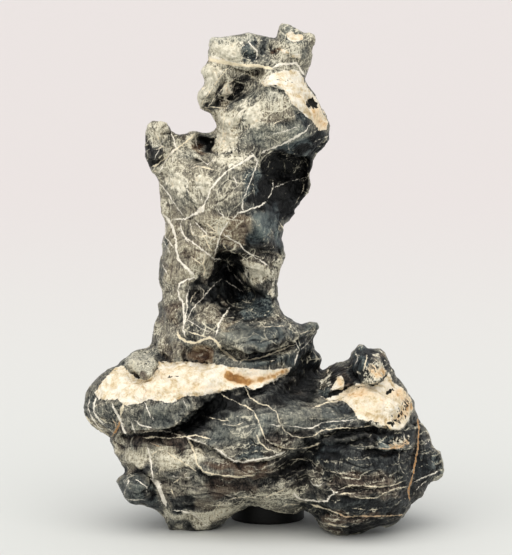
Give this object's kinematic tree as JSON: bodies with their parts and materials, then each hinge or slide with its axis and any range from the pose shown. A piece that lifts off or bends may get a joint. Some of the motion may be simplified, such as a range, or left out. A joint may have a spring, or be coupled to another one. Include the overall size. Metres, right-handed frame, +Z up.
{
  "type": "scholars rock",
  "caption": "Water-worn dark limestone rock with pale veins: a leaning tower on a broad ledged base, on two feet and a small round block.",
  "frame": {"origin": "middle of the whole object's footprint box, on the ground that it stands on", "axes": "+Z up along the tower, +X to the right and +Y to the back, seen from the side with the cream patches"},
  "size_m": [0.2906, 0.1926, 0.406],
  "materials": {
    "limestone": "worn, satin, with pale calcite veins",
    "black_wood": "black stain, satin"
  },
  "bodies": {
    "root": {"rock": "limestone", "stand_block": "black_wood"}
  },
  "joints": []
}
